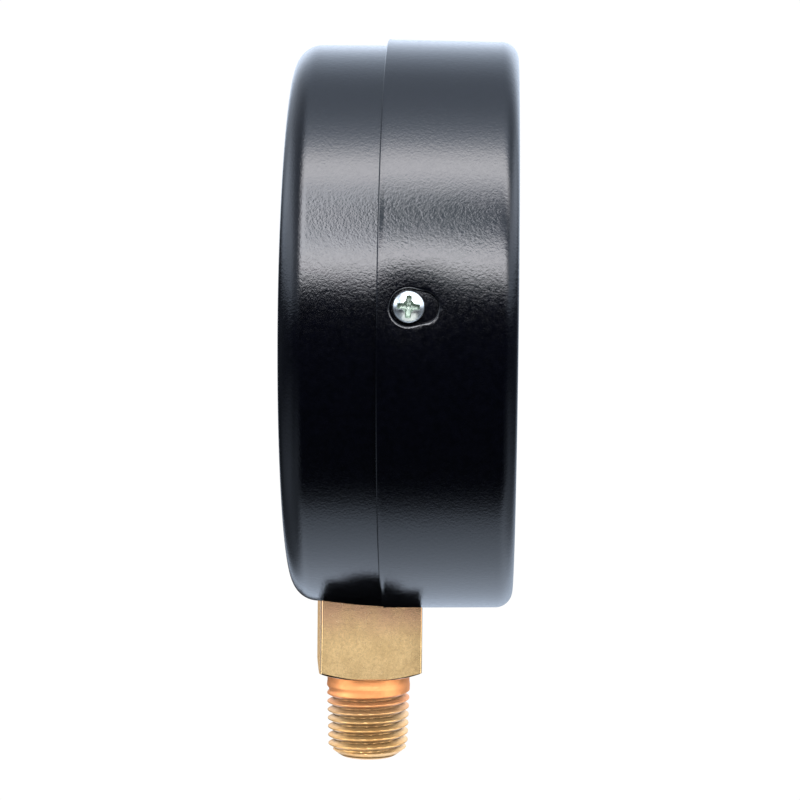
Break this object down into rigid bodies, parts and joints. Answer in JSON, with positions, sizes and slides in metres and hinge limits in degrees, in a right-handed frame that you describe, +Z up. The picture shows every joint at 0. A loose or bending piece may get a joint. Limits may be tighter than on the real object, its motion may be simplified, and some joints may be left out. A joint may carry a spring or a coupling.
{
  "type": "pressure gauge",
  "caption": "Dial pressure gauge with a Bourdon-tube movement in a round black steel case with a slip ring, and a square brass stem with a tapered pipe thread pointing down.",
  "frame": {"origin": "centre of the threaded stem's end face, on the stem axis", "axes": "+Z up along the stem towards the case, -Y out of the dial towards the reader, +X to the reader's right"},
  "size_m": [0.0942, 0.0369, 0.1182],
  "materials": {
    "black_enamel": "semi-gloss black baked enamel on drawn steel",
    "zinc_steel": "bright zinc-plated steel",
    "window_glass": "clear flat glass",
    "gasket_rubber": "black moulded rubber",
    "dial_white": "white painted aluminium sheet",
    "pointer_black": "matt black painted aluminium",
    "stem_brass": "machined brass, as cut",
    "movement_brass": "stamped and turned brass",
    "tube_bronze": "drawn phosphor bronze",
    "arbor_steel": "turned stainless steel"
  },
  "bodies": {
    "root": {"case": "black_enamel", "slip_ring": "black_enamel", "ring_screws": "zinc_steel", "lens": "window_glass", "lens_gasket": "gasket_rubber", "dial": "dial_white", "dial_screws": "zinc_steel", "dial_spacers": "movement_brass", "stop_pin": "zinc_steel", "socket": "stem_brass", "socket_screws": "zinc_steel", "restrictor": "zinc_steel", "bourdon_tube": "tube_bronze", "hairspring": "tube_bronze", "hairspring_stud": "movement_brass", "movement_back_plate": "movement_brass", "movement_front_plate": "movement_brass", "movement_pillars": "movement_brass", "pillar_screws": "zinc_steel", "pillar_nuts": "movement_brass", "movement_screws": "zinc_steel"},
    "sector": {"sector_gear": "movement_brass", "sector_arbor": "arbor_steel", "sector_tail_pin": "zinc_steel"},
    "pointer_arbor": {"pinion": "arbor_steel", "pointer": "pointer_black", "pointer_hub": "movement_brass", "hairspring_collet": "movement_brass"},
    "tube_tip": {"tube_end_piece": "movement_brass", "link_screw": "zinc_steel"},
    "link": {"link": "movement_brass"}
  },
  "joints": [
    {"name": "sector_swing", "type": "hinge", "parent": "root", "child": "sector", "pos_m": [0.00344, -0.0062, 0.0522], "axis": [0, -1, 0], "range_deg": [0, 27], "stiffness_Nm_per_rad": 0.02},
    {"name": "pointer_spin", "type": "hinge", "parent": "root", "child": "pointer_arbor", "pos_m": [0, -0.0064, 0.0717], "axis": [0, -1, 0], "range_deg": [-270.5, 0], "deforming": ["hairspring"]},
    {"name": "tip_rise", "type": "hinge", "parent": "root", "child": "tube_tip", "pos_m": [-0.00324, 0.004, 0.07849], "axis": [0, -1, 0], "range_deg": [0, 6.2], "deforming": ["bourdon_tube"]},
    {"name": "link_turn", "type": "hinge", "parent": "tube_tip", "child": "link", "pos_m": [0.02628, -0.0048, 0.05944], "axis": [0, -1, 0], "range_deg": [-3.3, 0]}
  ],
  "couplings": [
    {"joint": "pointer_spin", "follows": "sector_swing", "ratio": -10},
    {"joint": "tip_rise", "follows": "sector_swing", "ratio": 0.229},
    {"joint": "link_turn", "follows": "sector_swing", "ratio": -0.1199}
  ]
}
